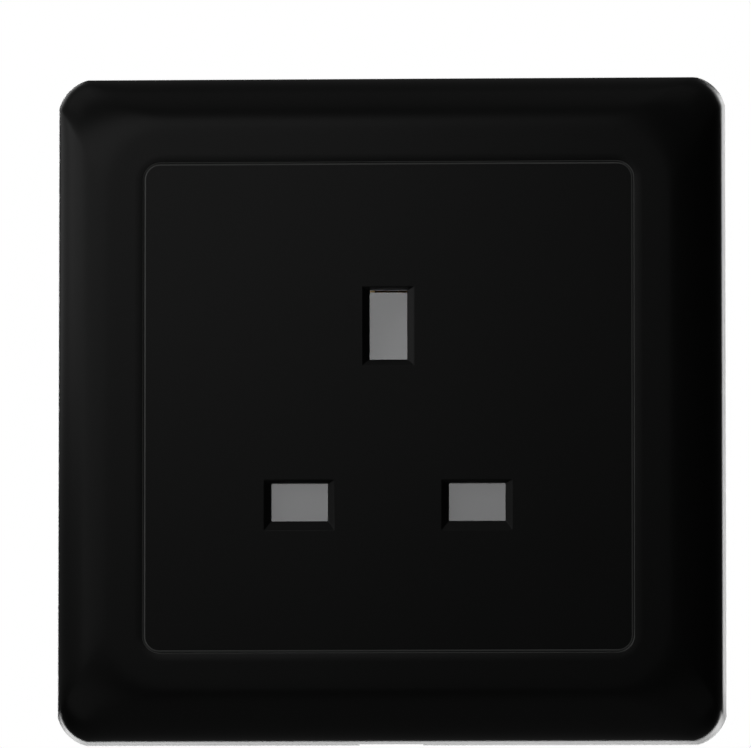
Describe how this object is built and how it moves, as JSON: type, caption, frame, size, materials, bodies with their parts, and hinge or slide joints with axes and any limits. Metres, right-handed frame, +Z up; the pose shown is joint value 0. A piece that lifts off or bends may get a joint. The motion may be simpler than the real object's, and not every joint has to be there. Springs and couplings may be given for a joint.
{
  "type": "three-pin wall socket outlet",
  "caption": "Square flush wall socket outlet with a pillowed frame, a centre panel with flat-pin holes, sliding safety shutters, and a moulded base with contacts and screw terminals behind.",
  "frame": {"origin": "midway between the two fixing slots, in the wall plane at the back of the mounting yoke", "axes": "+X to the right and +Z up as seen from the room, +Y into the wall, so the front faces -Y"},
  "size_m": [0.084, 0.0286, 0.084],
  "materials": {
    "front_black": "satin black moulding",
    "shutter_grey": "mid grey moulding",
    "inner_black": "matt black moulding",
    "base_grey": "dark grey glass-filled moulding",
    "plated_steel": "zinc plated pressing",
    "spring_steel": "bright spring steel",
    "brass": "pressed brass"
  },
  "bodies": {
    "outlet": {"outer_frame": "front_black", "centre_panel": "front_black", "module_cover": "inner_black", "mounting_yoke": "plated_steel", "base_housing": "base_grey", "shutter_guide": "inner_black", "shutter_spring": "spring_steel", "line_contact": "brass", "neutral_contact": "brass", "earth_contact": "brass", "line_contact_spring": "spring_steel", "neutral_contact_spring": "spring_steel", "earth_contact_spring": "spring_steel", "line_terminal": "brass", "neutral_terminal": "brass", "earth_left_terminal": "brass", "earth_right_terminal": "brass", "line_terminal_screw": "plated_steel", "neutral_terminal_screw": "plated_steel", "earth_left_terminal_screw": "plated_steel", "earth_right_terminal_screw": "plated_steel", "upper_left_assembly_screw": "plated_steel", "upper_right_assembly_screw": "plated_steel", "lower_left_assembly_screw": "plated_steel", "lower_right_assembly_screw": "plated_steel", "yoke_earth_strap": "brass", "strap_rivet": "plated_steel"},
    "shutter": {"shutter": "shutter_grey"}
  },
  "joints": [
    {"name": "shutter_slide", "type": "slide", "parent": "outlet", "child": "shutter", "axis": [0, 0, -1], "range_m": [0, 0.0089], "stiffness_N_per_m": 60, "springref_m": -0.004, "deforming": ["shutter_spring"]}
  ]
}
